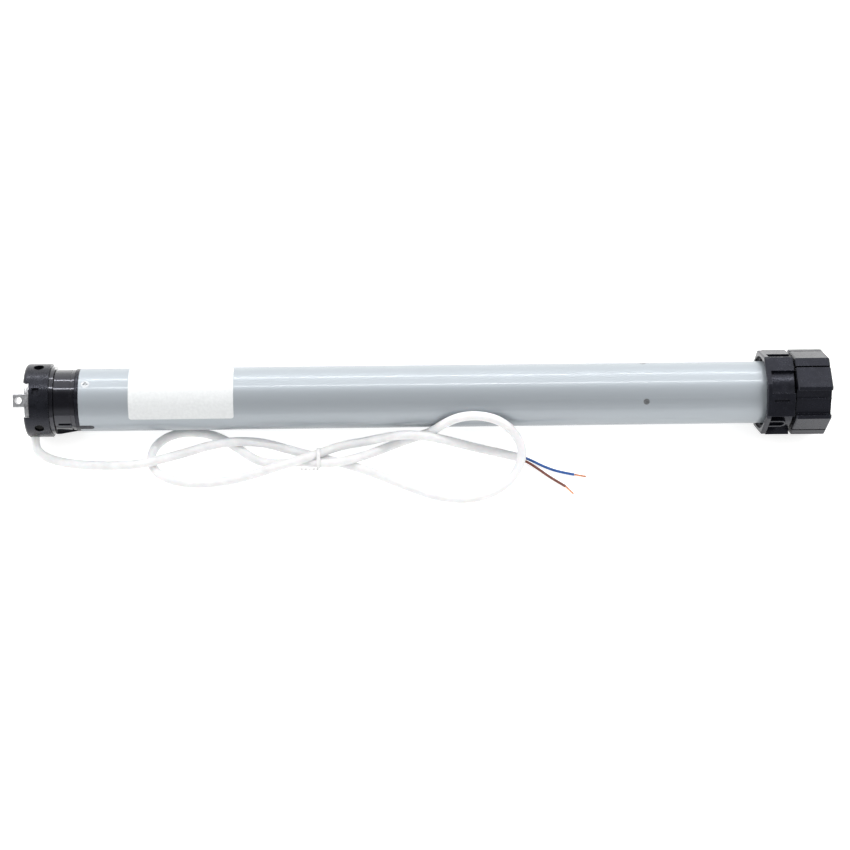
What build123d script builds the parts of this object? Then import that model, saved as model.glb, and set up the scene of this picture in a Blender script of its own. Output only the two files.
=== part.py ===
# Tubular roller blind motor of the 45 mm class, lying on a surface with its cable tied up.
# Frame: origin on the motor's axis at the outer face of the steel plate in the head,
# +X along the axis towards the drive wheel, +Z up. Lengths are millimetres, angles degrees.
# A clock angle turns about +X, from +Z towards -Y, the side that faces the viewer.

import os
from math import cos, pi, radians, sin, tan

from build123d import *

# Motor tube
tube_diameter = 45.0
tube_wall = 1.2
tube_length = 506.0

# Head, from its outer face to the tube
cap_diameter = 52.2
cap_length = 16.5
cap_overhang = 1.2
cap_rounding = 2.4
cap_disc = 9.0
cap_cavity_diameter = 36.0
collar_diameter = 48.4
collar_length = 2.9
ring_diameter = 44.0
ring_length = 14.4
ring_play = 0.3
rim_diameter = 44.6
rim_length = 2.6
neck_diameter = 37.0
insert_length = 25.0
head_clock = 30.0

# Square pin and the plate that carries it
pin_size = 10.0
pin_rounding = 1.2
pin_end_chamfer = 0.4
pin_length = 11.5
pin_hole_diameter = 5.0
pin_hole_from_face = 7.5
pin_tenon_diameter = 8.0
plate_width = 23.6
plate_thickness = 3.0
plate_inset = 0.7
channel_width = 24.0
channel_depth = 3.3
plate_screw_pitch = 32.0
plate_screw_diameter = 3.8
plate_screw_head_diameter = 7.4
plate_screw_head_depth = 2.0
plate_screw_length = 8.0

# Pockets in the side of the cap, by clock angle and distance from the face
side_pocket_depth = 6.0
button_clock = 80.0
button_from_face = 9.2
button_hole_diameter = 6.6
button_diameter = 6.0
button_length = 3.4
button_rounding = 0.6
button_recess = 1.2
side_hole_clock = -33.0
side_hole_from_face = 8.6
side_hole_diameter = 7.2
clip_clock = 17.0
clip_from_face = 7.8
clip_size = 4.9
clip_depth = 2.4

# Cable, its way through the head and the gland round it
cable_diameter = 6.5
cable_clock = 120.0
cable_from_face = 3.4
cable_offset = 13.2
cable_turn_radius = 8.0
cable_inner_end = 2.0
cable_way_clearance = 0.3
cable_way_start = 4.1
cable_way_wall = 0.6
gland_diameter = 8.8
gland_depth = 6.0
core_diameter = 1.9
core_gap = 0.2
conductor_diameter = 1.2

# Crown ring details
ring_groove_width = 0.9
ring_groove_depth = 0.6
ring_groove_from_end = 3.0
ring_key_width = 6.0
ring_key_height = 2.2
ring_key_low = 0.2
ring_key_clock = 118.0
ring_detail_root = 1.2
ring_rib_width = 3.0
ring_rib_height = 0.9
ring_rib_margin = 2.4
ring_rib_clock = 86.0

# Key of the head in its slot in the tube, and the screws that hold tube and head together
key_clock = 91.0
key_width = 5.0
key_length = 10.0
key_clearance = 0.1
head_screw_clock = 1.5
head_screw_from_end = 4.8
head_screw_diameter = 2.6
head_screw_head_diameter = 5.8
head_screw_head_depth = 1.05
head_screw_length = 7.0

# Label and rivets on the tube
label_from_end = 34.9
label_length = 73.8
label_corner = 2.0
label_thickness = 0.12
label_seat = 0.1
label_clocks = (-42.0, 70.0)
rivet_from_flange = 17.0
rivet_clock = 46.0
rivet_count = 4
rivet_diameter = 3.0
rivet_head_diameter = 4.4
rivet_head_depth = 0.8
rivet_length = 3.6

# Control board and what stands on it
carrier_from_insert = 4.0
carrier_length = 184.0
carrier_wall = 1.5
carrier_clocks = (112.0, 248.0)
rail_width = 3.0
board_width = 28.0
board_thickness = 1.6
board_level = -13.0
board_margin = 3.0
terminal_length = 10.0
terminal_width = 8.4
terminal_height = 9.6
terminal_from_end = 2.0
capacitor_diameter = 12.0
capacitor_length = 24.0
capacitor_from_end = 18.0
relay_length = 19.0
relay_width = 15.0
relay_height = 15.0
relay_from_end = 52.0
transistor_count = 4
transistor_length = 4.6
transistor_width = 10.0
transistor_height = 14.0
transistor_pitch = 8.0
transistor_from_end = 82.0
chip_count = 3
chip_length = 7.0
chip_width = 7.0
chip_height = 1.2
chip_pitch = 11.0
chip_from_end = 118.0
radio_length = 18.0
radio_width = 14.0
radio_height = 2.6
radio_from_end = 152.0
aerial_diameter = 1.0
aerial_length = 7.0
lead_diameter = 1.8
lead_spread = 8.0
lead_on_board = 10.0

# Motor
can_from_tube = 3.65
can_wall = 1.7
can_length = 80.0
can_front = 2.0
magnet_thickness = 2.5
magnet_length = 66.0
magnet_start = 6.0
magnet_sweep = 140.0
bell_length = 8.0
bell_spigot = 3.0
bearing_diameter = 12.0
bearing_length = 6.0
rotor_shaft_diameter = 4.0
core_length = 48.0
core_start = 16.0
core_air_gap = 0.5
slot_count = 5
slot_mouth = 2.4
slot_bore = 7.2
slot_centre = 8.2
winding_clearance = 0.25
winding_overhang = 4.2
winding_outer_diameter = 22.0
winding_inner_diameter = 8.4
commutator_diameter = 9.0
commutator_length = 6.0
commutator_start = 3.4
commutator_slot = 0.5
brush_width = 4.0
brush_length = 4.6
brush_height = 6.4
brush_wall = 1.8
encoder_diameter = 16.0
encoder_length = 4.0
encoder_from_bell = 2.5
sensor_board_diameter = 34.0
sensor_board_thickness = 1.6
sensor_gap = 1.4
sensor_pillar_diameter = 5.0
sensor_pillar_pitch = 26.0
rear_mount_length = 8.0

# Motor flange and magnetic brake
flange_overlap = 10.0
flange_length = 40.0
flange_cavity_diameter = 26.0
flange_wall = 4.0
brake_ring_inner_diameter = 16.0
brake_length = 6.0
brake_start = 10.0
brake_pole_count = 8
brake_tip_diameter = 15.2
brake_root_diameter = 12.4
brake_tip_width = 2.6
brake_root_width = 3.4

# Three-stage planetary gearbox, module 1, with straight-flanked teeth and running clearance
sun_teeth = 9
planet_teeth = 12
ring_teeth = 33
stage_count = 3
planet_count = 3
gear_module = 1.0
sun_tip_radius = 5.2
sun_root_radius = 3.35
sun_tip_width = 0.75
sun_root_width = 1.75
planet_tip_radius = 6.8
planet_root_radius = 4.85
planet_tip_width = 0.65
planet_root_width = 1.75
ring_tip_radius = 15.75
ring_root_radius = 17.6
ring_tip_width = 0.7
ring_root_width = 1.9
gearbox_wall = 3.0
gear_width = 9.0
stage_gap = 0.5
carrier_thickness = 4.5
carrier_disc_diameter = 30.4
carrier_window_diameter = 7.0
carrier_window_centre = 10.4
planet_pin_diameter = 4.0
last_disc_thickness = 7.0
housing_tail = 4.5

# Output end
cover_length = 32.0
cover_spigot_length = 3.5
cover_spigot_diameter = 31.2
cover_lip_diameter = 44.8
cover_lip_length = 2.4
cover_web = 2.0
bush_diameter = 24.0
output_shaft_diameter = 16.0
hex_across_flats = 13.0
hex_start_gap = 1.0
hex_length = 21.5

# Drive wheel for an octagonal roller tube
wheel_sides = 8
wheel_over_tube = 12.3
wheel_length = 25.2
wheel_gap = 0.9
wheel_turn = 2.5
wheel_chamfer = 0.8
wheel_hub_diameter = 22.0
wheel_pocket_diameter = 44.8
wheel_web = 5.0
wheel_rib = 2.0
wheel_slot_width = 1.2
wheel_slot_depth = 3.0
wheel_slot_offsets = {0: 4.8, 2: -4.8, 3: 6.6, 4: 4.8, 6: -4.8, 7: 6.6}
wheel_keyway_width = 18.4
wheel_keyway_depth = 4.0
wheel_keyway_rib = 0.9
wheel_keyway_rib_offset = 2.3
wheel_keyway_places = (1, 5)
wheel_counterbore_diameter = 18.0
wheel_washer_thickness = 1.2
wheel_screw_diameter = 4.0
wheel_screw_length = 14.0
wheel_screw_head_diameter = 7.4
wheel_screw_head_height = 2.8

# Crown adapter, a loose sleeve parked on the tube beside the drive wheel
adapter_length = 20.2
adapter_gap = 1.6
adapter_flange = 3.4
adapter_corner_cut = 0.5
adapter_mouth_wall = 2.6
adapter_mouth_depth = 2.2
adapter_bore_clearance = 0.4
adapter_drum_wall = 1.6
adapter_key_depth = 1.2
adapter_key_sweep = 16.0
adapter_key_count = 4
adapter_pad_clocks = ((-24.0, -1.0), (33.0, 66.0), (112.0, 140.0))
adapter_slot_clock = 43.5
adapter_slot_width = 1.5
adapter_slot_length = 11.0
adapter_slot_depth = 1.6
adapter_ridge_clock = 83.5
adapter_ridge_width = 7.8
adapter_ridge_wall = 1.3
adapter_ridge_length = 12.0
adapter_ridge_depth = 2.4

# Shared clearances and cuts
fit = 0.05
slide_fit = 0.1
cross_slot = 0.9
cross_depth = 0.9
cross_arm_share = 0.6
arc_run_share = 0.45
full_turn = 360
overrun = 1.0

# Twist tie round the three strands of the cable
tie_station = 205.0
tie_width = 1.8
tie_thickness = 0.35
tie_play = 0.75
tie_tail_length = 11.0
tie_tail_width = 1.6
tie_tail_slope = 16.0

# Route of the cable's centre, from the gland to the cut end of its jacket: along the front of
# the tube, round the right loop, which leans on the tube, through the tie, round the left loop
# and through the tie again.
cable_points = [
    (3.4, -22.602, -13.05), (3.4, -28.579, -16.5), (7.5, -33.3, -20.2), (18, -37.3, -22.6),
    (37, -40.6, -22.8), (58, -41.8, -22), (80, -44.5, -15.2), (94, -40.5, -15.3),
    (110, -33, -20.2), (127, -29.5, -15.7), (147, -26.5, -15.4), (166, -25, -21.1),
    (184, -30, -23.1), (205, -37, -22.5), (225, -42, -23.4), (246, -50, -23.8),
    (269, -61, -23.9), (291, -70, -24), (314, -72, -24.1), (334, -64.5, -24.3),
    (347, -52, -22.3), (352, -39.5, -16.1), (348, -30, -7.7), (336, -26.5, 7.7),
    (322, -24.4, 12.9), (307, -24.4, 12.5), (295, -26.4, 6.5), (286, -25.4, -8.2),
    (275, -24, -17), (262, -26.5, -21.6), (247, -32.5, -22.7), (230, -42, -16.3),
    (217, -45, -15.9), (205, -43.5, -19), (190, -40, -23), (174, -41.5, -23.4),
    (160, -38.5, -23.3), (147, -28, -23.2), (132, -17.5, -23.2), (114, -14, -23.1),
    (98.5, -16.5, -23), (88, -25, -22.9), (84.5, -36, -22.9), (88, -46.5, -22.9),
    (100, -54, -23), (118, -57, -23.1), (140, -55, -23.2), (160, -49.5, -22.8),
    (178, -46, -17.2), (191, -43, -15.2), (205, -37.5, -15.9), (221, -29.5, -18.8),
    (239, -27, -17.9), (254, -27.5, -10.7), (267, -29, -4.6), (282, -31, -3.6),
    (297, -31.5, -9.4), (311, -30, -19.4), (325, -31.5, -24), (339, -35, -24.3),
    (351, -38.5, -24.3)]

# Routes of the two wires from the cut end of the jacket, over the ground
blue_points = [(351.8, -37.5, -24.3), (357.5, -39.6, -25.2), (367, -44.5, -26.7),
               (378, -49.2, -26.8), (389, -51.4, -26.9)]
brown_points = [(351.3, -39.7, -24.3), (356, -41.6, -25.4), (363, -46.3, -26.7),
                (372, -54, -26.8), (382, -60.9, -26.9)]
blue_tip = (397.4, -53.1, -26.9)
brown_tip = (387.2, -67, -26.9)

# Sizes worked out from those above
tube_radius = tube_diameter / 2
tube_bore = tube_radius - tube_wall
inner_radius = tube_bore - fit
ring_start = cap_length + collar_length + ring_play
ring_end = ring_start + ring_length
rim_start = ring_end + ring_play
tube_start = rim_start + rim_length
tube_end = tube_start + tube_length
insert_end = tube_start + insert_length
cap_radius = cap_diameter / 2
spigot_radius = cap_cavity_diameter / 2 - fit
cable_radius = cable_diameter / 2
cable_way_radius = cable_radius + cable_way_clearance
core_radius = core_diameter / 2
rotor_radius = rotor_shaft_diameter / 2
can_radius = inner_radius - can_from_tube
magnet_outer = can_radius - can_wall - fit
magnet_inner = magnet_outer - magnet_thickness
orbit_radius = (sun_teeth + planet_teeth) * gear_module / 2
stage_length = gear_width + carrier_thickness + 3 * stage_gap
cover_end = tube_end
housing_end = cover_end - cover_length
last_disc_start = housing_end - housing_tail - last_disc_thickness
last_stage = last_disc_start - gear_width - 2 * stage_gap
gear_start = last_stage - (stage_count - 1) * stage_length
flange_end = gear_start - gearbox_wall - stage_gap
flange_start = flange_end - flange_length
can_end = flange_start + flange_overlap
can_start = can_end - can_length
flange_seat = can_end + slide_fit
bell_start = can_start - bell_length
encoder_end = bell_start - encoder_from_bell
encoder_start = encoder_end - encoder_length
sensor_end = encoder_start - sensor_gap
lip_end = cover_end + cover_lip_length
output_radius = output_shaft_diameter / 2
wheel_start = lip_end + wheel_gap
wheel_end = wheel_start + wheel_length
wheel_across_flats = tube_diameter + wheel_over_tube
wheel_apothem = wheel_across_flats / 2
hex_start = lip_end - hex_start_gap
hex_end = hex_start + hex_length
adapter_end = wheel_start - adapter_gap
adapter_start = adapter_end - adapter_length
adapter_inner = tube_radius + adapter_bore_clearance
drum_inner = adapter_inner + adapter_key_depth
drum_outer = drum_inner + adapter_drum_wall
carrier_start = insert_end + carrier_from_insert
carrier_end = carrier_start + carrier_length
board_start = carrier_start + board_margin
board_end = carrier_end - board_margin
board_top = board_level + board_thickness


# Round bar on the axis
def rod(radius, start, end):
    return Pos(X=(start + end) / 2) * Rot(Y=90) * Cylinder(radius, end - start)


# Round sleeve on the axis
def sleeve(outer, inner, start, end):
    return rod(outer, start, end) - rod(inner, start - overrun, end + overrun)


# Part of a sleeve between two clock angles
def sector(outer, inner, start, end, clocks):
    low, high = clocks
    full = (Align.NONE, Align.NONE, Align.CENTER)
    wedge = Pos(X=(start + end) / 2) * Rot(Y=90) * Cylinder(
        outer, end - start, arc_size=high - low, align=full)
    return Rot(X=low - 180) * wedge - rod(inner, start - overrun, end + overrun)


# Block between two stations, centred on Y, between two heights
def block(start, end, width, low, high):
    return Pos((start + end) / 2, 0, (low + high) / 2) * Box(end - start, width, high - low)


# Round bar that stands on the axis along +Z
def post(radius, station, low, high):
    return Pos(station, 0, (low + high) / 2) * Cylinder(radius, high - low)


# Shape turned to a clock angle
def at_clock(shape, clock):
    return Rot(X=clock) * shape


# Even copies of a shape about the axis
def around(shape, count, first=0.0):
    return [at_clock(shape, first + full_turn * i / count) for i in range(count)]


# Point on a clock angle
def clock_point(station, radius, clock):
    return (station, -radius * sin(radians(clock)), radius * cos(radians(clock)))


# Bar with the outline of a regular polygon, its first flat at clock zero
def prism(across_flats, sides, start, end):
    outline = Rot(Z=180 / sides + 90) * RegularPolygon(across_flats / 2, sides, major_radius=False)
    return extrude(Plane.YZ.offset(start) * outline, end - start)


# Bar with straight-flanked teeth, its first tooth at the clock angle given
def toothed_bar(teeth, tip, root, tip_width, root_width, first, start, end):
    points = []
    for tooth in range(teeth):
        middle = radians(first + full_turn * tooth / teeth)
        corners = ((root, -root_width), (tip, -tip_width), (tip, tip_width), (root, root_width))
        for radius, width in corners:
            angle = middle + width / 2 / radius
            points.append((-radius * sin(angle), radius * cos(angle)))
    return extrude(Plane.YZ.offset(start) * make_face(Polyline(*points, close=True)), end - start)


def sun_bar(start, end):
    return toothed_bar(sun_teeth, sun_tip_radius, sun_root_radius, sun_tip_width,
                       sun_root_width, 180 / sun_teeth, start, end)


# Radii of the arcs that round a route's corners, each as large as its two runs allow
def route_radii(points):
    radii = []
    for before, corner, after in zip(points, points[1:], points[2:]):
        first, second = Vector(corner) - Vector(before), Vector(after) - Vector(corner)
        run = min(first.length, second.length)
        radii.append(arc_run_share * run / tan(radians(first.get_angle(second)) / 2))
    return radii


# Round cord along straight runs joined by tangent arcs
def cord(points, radius):
    path = FilletPolyline(*points, radius=route_radii(points))
    return sweep(Plane(origin=path @ 0, z_dir=path % 0) * Circle(radius), path=path), path


# Cross recess in a screw head, cut from the top of a screw that stands along +Z
def cross_recess(station, top, head_diameter):
    arm = head_diameter * cross_arm_share
    low = top - cross_depth
    bar = Pos(station, 0, (low + top + overrun) / 2)
    height = top + overrun - low
    return bar * Box(arm, cross_slot, height) + bar * Box(cross_slot, arm, height)


# Countersunk screw or its hole along +Z, the head's face at the radius given
def countersunk(station, top, diameter, head_diameter, head_depth, length, clearance=0.0):
    shank = post(diameter / 2 + clearance, station, top - length, top - head_depth + clearance)
    cone = Pos(station, 0, top - head_depth / 2) * Cone(
        diameter / 2 + clearance, head_diameter / 2 + clearance, head_depth)
    return shank + cone


def make_square_pin():
    body = block(-pin_length, 0, pin_size, -pin_size / 2, pin_size / 2)
    body = fillet(body.edges().filter_by(Axis.X), pin_rounding)
    body = chamfer(body.faces().sort_by(Axis.X)[0].edges(), pin_end_chamfer)
    body -= post(pin_hole_diameter / 2, -pin_hole_from_face, -pin_size, pin_size)
    body += rod(pin_tenon_diameter / 2, 0, plate_thickness)
    return at_clock(body, head_clock)


# The plate's screws stand along -X; they are shaped along +Z and laid over
def plate_screw(clearance=0.0):
    screw = countersunk(0, 0, plate_screw_diameter, plate_screw_head_diameter,
                        plate_screw_head_depth, plate_screw_length, clearance)
    if clearance == 0:
        screw -= cross_recess(0, 0, plate_screw_head_diameter)
    return Rot(Y=-90) * screw


def plate_screw_places(shape):
    return [at_clock(Pos(Z=side * plate_screw_pitch / 2) * shape, head_clock) for side in (-1, 1)]


def make_mounting_plate():
    blank = block(0, plate_thickness, plate_width, -cap_radius, cap_radius)
    blank = blank & rod(cap_radius - plate_inset, 0, plate_thickness)
    blank = at_clock(blank, head_clock)
    blank -= rod(pin_tenon_diameter / 2 + fit, -overrun, plate_thickness + overrun)
    for hole in plate_screw_places(plate_screw(clearance=fit)):
        blank -= hole
    return blank


def make_plate_screws():
    return Compound(children=plate_screw_places(plate_screw()))


# Way of the cable through the cap: a hole in from its side that opens into the bore behind
def cable_way():
    radius = cable_way_radius
    way = post(radius, cable_from_face, cable_offset + radius, cap_radius + overrun)
    way += block(cable_way_start, cap_disc + overrun, 2 * radius, cable_offset - radius,
                 spigot_radius)
    way += block(cable_from_face - radius, cap_disc + overrun, 2 * radius, channel_width / 2 + cable_way_wall,
                 cap_cavity_diameter / 2 + radius)
    return at_clock(way, cable_clock)


def make_head_cap():
    cap = rod(cap_radius, -cap_overhang, cap_length)
    front = cap.faces().sort_by(Axis.X)[0].edges()
    cap = fillet(front, cap_rounding)
    cap -= rod(cap_cavity_diameter / 2, cap_disc, cap_length + overrun)
    channel = block(-cap_overhang - overrun, channel_depth, channel_width, -cap_diameter, cap_diameter)
    cap -= at_clock(channel, head_clock)
    for hole in plate_screw_places(plate_screw(clearance=fit)):
        cap -= hole
    cap -= cable_way()
    gland_seat = post(gland_diameter / 2 + fit, cable_from_face,
                      cap_radius - gland_depth - fit, cap_radius + overrun)
    cap -= at_clock(gland_seat, cable_clock)
    floor = cap_radius - side_pocket_depth
    cap -= at_clock(post(button_hole_diameter / 2, button_from_face, floor, cap_diameter), button_clock)
    cap -= at_clock(post(side_hole_diameter / 2, side_hole_from_face, floor, cap_diameter),
                    side_hole_clock)
    clip = block(clip_from_face - clip_size / 2, clip_from_face + clip_size / 2, clip_size,
                 cap_radius - clip_depth, cap_diameter)
    return cap - at_clock(clip, clip_clock)


def make_set_button():
    top = cap_radius - button_recess
    button = post(button_diameter / 2, button_from_face, top - button_length, top)
    button = fillet(button.faces().sort_by(Axis.Z)[-1].edges(), button_rounding)
    return at_clock(button, button_clock)


def make_cable_gland():
    gland = post(gland_diameter / 2, cable_from_face, cap_radius - gland_depth, cap_radius - plate_inset)
    gland -= post(cable_radius + fit, cable_from_face, 0, cap_diameter)
    return at_clock(gland, cable_clock)


# Run of the cable inside the head: in from the side, one turn, then along the tube
def make_cable_inside():
    points = [clock_point(cable_from_face, cap_radius, cable_clock),
              clock_point(cable_from_face, cable_offset, cable_clock),
              clock_point(insert_end + cable_inner_end, cable_offset, cable_clock)]
    path = FilletPolyline(*points, radius=cable_turn_radius)
    return sweep(Plane(origin=path @ 0, z_dir=path % 0) * Circle(cable_radius), path=path)


def make_head_body():
    body = rod(spigot_radius, cap_disc + slide_fit, cap_length)
    body += rod(neck_diameter / 2, cap_length, rim_start)
    body += rod(rim_diameter / 2, rim_start, tube_start)
    body += rod(inner_radius, tube_start, insert_end)
    key = block(tube_start, tube_start + key_length - key_width / 2, key_width - 2 * key_clearance,
                inner_radius - tube_wall, tube_radius - fit)
    key += post(key_width / 2 - key_clearance, tube_start + key_length - key_width / 2,
                inner_radius - tube_wall, tube_radius - fit)
    body += at_clock(key, key_clock)
    bore = Pos(*clock_point(0, cable_offset, cable_clock)) * rod(
        cable_way_radius, cap_disc + cable_turn_radius, insert_end + overrun)
    body -= bore
    body -= at_clock(block(cap_disc, cap_length - overrun, 2 * cable_way_radius,
                           cable_offset - cable_way_radius, cap_radius), cable_clock)
    body -= at_clock(block(cap_disc, cap_disc + cable_turn_radius + overrun, 2 * cable_way_radius,
                           cable_offset - cable_way_radius, cable_offset + cable_way_radius), cable_clock)
    for hole in head_screw_places(fit):
        body -= hole
    return body


def head_screw_places(clearance=0.0):
    station = tube_start + head_screw_from_end
    screw = countersunk(station, tube_radius, head_screw_diameter, head_screw_head_diameter,
                        head_screw_head_depth, head_screw_length, clearance)
    if clearance == 0:
        screw -= cross_recess(station, tube_radius, head_screw_head_diameter)
    return around(screw, 2, head_screw_clock)


def make_head_collar():
    return sleeve(collar_diameter / 2, neck_diameter / 2 + fit, cap_length, cap_length + collar_length)


def make_crown_ring():
    ring = sleeve(ring_diameter / 2, neck_diameter / 2 + slide_fit, ring_start, ring_end)
    groove = ring_end - ring_groove_from_end
    ring -= sleeve(ring_diameter, ring_diameter / 2 - ring_groove_depth, groove,
                   groove + ring_groove_width)
    surface = ring_diameter / 2
    root = surface - ring_detail_root
    wedge = make_face(Polyline((ring_start, root), (ring_start, surface + ring_key_height),
                               (ring_start + ring_rib_margin, surface + ring_key_height),
                               (ring_end, surface + ring_key_low), (ring_end, root), close=True))
    key = extrude(Plane.XZ * wedge, ring_key_width / 2, both=True)
    ring += at_clock(key, ring_key_clock)
    rib = block(ring_start + ring_rib_margin, groove, ring_rib_width, root, surface + ring_rib_height)
    for copy in around(rib, 2, ring_rib_clock):
        ring += copy
    return ring


def make_motor_tube():
    tube = sleeve(tube_radius, tube_bore, tube_start, tube_end)
    slot = block(tube_start - overrun, tube_start + key_length - key_width / 2, key_width, 0, tube_diameter)
    slot += post(key_width / 2, tube_start + key_length - key_width / 2, 0, tube_diameter)
    tube -= at_clock(slot, key_clock)
    for hole in head_screw_places(fit):
        tube -= hole
    for hole in rivet_places(fit):
        tube -= hole
    return tube


def rivet_places(clearance=0.0):
    rivet = countersunk(flange_end - rivet_from_flange, tube_radius, rivet_diameter, rivet_head_diameter,
                        rivet_head_depth, rivet_length, clearance)
    return around(rivet, rivet_count, rivet_clock)


def make_rating_label():
    start = tube_start + label_from_end
    inner = tube_radius + label_seat
    label = sector(inner + label_thickness, inner, start, start + label_length, label_clocks)
    corners = label.edges().filter_by(lambda edge: edge.length < 2 * label_thickness)
    return fillet(corners, label_corner)


def make_board_carrier():
    shell = sector(inner_radius, inner_radius - carrier_wall, carrier_start, carrier_end, carrier_clocks)
    rail = block(carrier_start, carrier_end, rail_width, -inner_radius, board_level)
    for side in (-1, 1):
        shell += (Pos(Y=side * (board_width - rail_width) / 2) * rail) & rod(
            inner_radius, carrier_start, carrier_end)
    return shell


def on_board(start, length, width, height, middle=0.0):
    return Pos(Y=middle) * block(start, start + length, width, board_top, board_top + height)


def make_control_board():
    return block(board_start, board_end, board_width, board_level, board_top)


def make_terminal_block():
    middle = clock_point(0, cable_offset, cable_clock)[1]
    body = on_board(board_start + terminal_from_end, terminal_length, terminal_width,
                    terminal_height, middle)
    return body


# Two cores from the end of the cable to the terminal block, and two leads along the board's far
# end to the motor's end bell
def make_inner_leads():
    start = insert_end + cable_inner_end
    end = board_start + terminal_from_end
    station, across, height = clock_point(0, cable_offset, cable_clock)
    pitch = core_radius + core_gap
    leads = [Pos(Y=across + side * pitch, Z=height) * rod(core_radius, start, end) for side in (-1, 1)]
    radius = lead_diameter / 2
    for side in (-1, 1):
        leads.append(Pos(Y=side * lead_spread, Z=board_top + radius) * rod(
            radius, board_end - lead_on_board, bell_start))
    return Compound(children=leads)


def make_capacitor():
    radius = capacitor_diameter / 2
    start = board_start + capacitor_from_end
    return Pos(Z=board_top + radius) * rod(radius, start, start + capacitor_length)


# Upright power transistors and flat chips
def make_semiconductors():
    start = board_start + transistor_from_end
    pieces = [on_board(start + i * transistor_pitch, transistor_length, transistor_width,
                       transistor_height) for i in range(transistor_count)]
    start = board_start + chip_from_end
    pieces += [on_board(start + i * chip_pitch, chip_length, chip_width, chip_height)
               for i in range(chip_count)]
    return Compound(children=pieces)


# Radio module and the aerial wire that lies on the board behind it
def make_radio_module():
    start = board_start + radio_from_end
    module = on_board(start, radio_length, radio_width, radio_height)
    radius = aerial_diameter / 2
    aerial = Pos(Z=board_top + radius) * rod(radius, start + radio_length,
                                            start + radio_length + aerial_length)
    return Compound(children=[module, aerial])


def make_motor_can():
    can = rod(can_radius, can_start, can_end)
    can -= rod(can_radius - can_wall, can_start - overrun, can_end - can_front)
    return can - rod(bearing_diameter / 2 + fit, can_start, can_end + overrun)


def make_magnets():
    start = can_start + magnet_start
    half = magnet_sweep / 2
    arcs = [sector(magnet_outer, magnet_inner, start, start + magnet_length, (side - half, side + half))
            for side in (90.0, 270.0)]
    return Compound(children=arcs)


def make_end_bell():
    bell = rod(can_radius, bell_start, can_start)
    bell += rod(magnet_outer, can_start, can_start + bell_spigot)
    start = can_start + bell_spigot
    low = commutator_diameter / 2 + overrun
    high = low + brush_height - overrun
    for clock in (0, 180):
        holder = block(can_start, start + brush_length + 2 * brush_wall, brush_width + 2 * brush_wall,
                       low, high)
        window = block(start + brush_wall - slide_fit, start + brush_wall + brush_length + slide_fit,
                       brush_width + 2 * slide_fit, 0, can_radius)
        bell += at_clock(holder, clock)
        bell -= at_clock(window, clock)
    bell -= rod(bearing_diameter / 2 + fit, bell_start - overrun, bell_start + bearing_length + fit)
    bell -= rod(rotor_radius + overrun, bell_start, start + overrun)
    for side in (-1, 1):
        lead = Pos(Y=side * lead_spread, Z=board_top + lead_diameter / 2)
        bell -= lead * rod(lead_diameter / 2 + fit, bell_start - overrun, bell_start + overrun)
    return bell


def make_brushes():
    start = can_start + bell_spigot + brush_wall
    low = commutator_diameter / 2 + slide_fit
    brush = block(start, start + brush_length, brush_width, low, low + brush_height)
    return Compound(children=[at_clock(brush, 0), at_clock(brush, 180)])


def make_bearing(start):
    return sleeve(bearing_diameter / 2, rotor_radius + slide_fit, start, start + bearing_length)


def make_rotor_shaft():
    return rod(rotor_radius, encoder_start, gear_start + gear_width)


def make_rotor_core():
    start = can_start + core_start
    core = sleeve(magnet_inner - core_air_gap, rotor_radius + fit, start, start + core_length)
    slot = Pos(Z=slot_centre) * rod(slot_bore / 2, start - overrun, start + core_length + overrun)
    slot += block(start - overrun, start + core_length + overrun, slot_mouth, slot_centre, can_radius)
    for copy in around(slot, slot_count):
        core -= copy
    return core


def make_rotor_windings():
    start = can_start + core_start
    end = start + core_length
    outer, inner = winding_outer_diameter / 2, winding_inner_diameter / 2
    coils = sleeve(outer, inner, start - winding_overhang, start - winding_clearance)
    coils += sleeve(outer, inner, end + winding_clearance, end + winding_overhang)
    bundle = Pos(Z=slot_centre) * rod(slot_bore / 2 - winding_clearance, start - winding_overhang / 2,
                                      end + winding_overhang / 2)
    for copy in around(bundle, slot_count):
        coils += copy
    return coils


def make_commutator():
    start = can_start + bell_spigot + commutator_start - overrun
    drum = sleeve(commutator_diameter / 2, rotor_radius + fit, start, start + commutator_length)
    slot = block(start - overrun, start + commutator_length + overrun, commutator_slot,
                 commutator_diameter / 2 - commutator_slot, can_radius)
    for copy in around(slot, slot_count):
        drum -= copy
    return drum


def make_encoder_magnet():
    return sleeve(encoder_diameter / 2, rotor_radius + fit, encoder_start, encoder_end)


# Round sensor board and the two pillars that hold it to the end bell
def make_sensor_board():
    board = rod(sensor_board_diameter / 2, sensor_end - sensor_board_thickness, sensor_end)
    for side in (-1, 1):
        lead = Pos(Y=side * lead_spread, Z=board_top + lead_diameter / 2)
        board -= lead * rod(lead_diameter / 2 + slide_fit, 0, bell_start)
    pillar = Pos(Z=sensor_pillar_pitch / 2) * rod(sensor_pillar_diameter / 2, sensor_end, bell_start)
    return Compound(children=[board] + around(pillar, 2))


def make_rear_mount():
    return sleeve(inner_radius, can_radius + fit, can_start, can_start + rear_mount_length)


def make_motor_flange():
    flange = rod(inner_radius, flange_start, flange_end)
    flange -= rod(can_radius + fit, flange_start - overrun, flange_seat)
    flange -= rod(flange_cavity_diameter / 2, flange_seat - overrun, flange_end - flange_wall)
    flange -= rod(sun_tip_radius + overrun, flange_end - flange_wall - overrun, flange_end + overrun)
    for hole in rivet_places(fit):
        flange -= hole
    return flange


def make_brake_ring():
    start = flange_seat + brake_start
    return sleeve(flange_cavity_diameter / 2 - fit, brake_ring_inner_diameter / 2, start,
                  start + brake_length)


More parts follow.
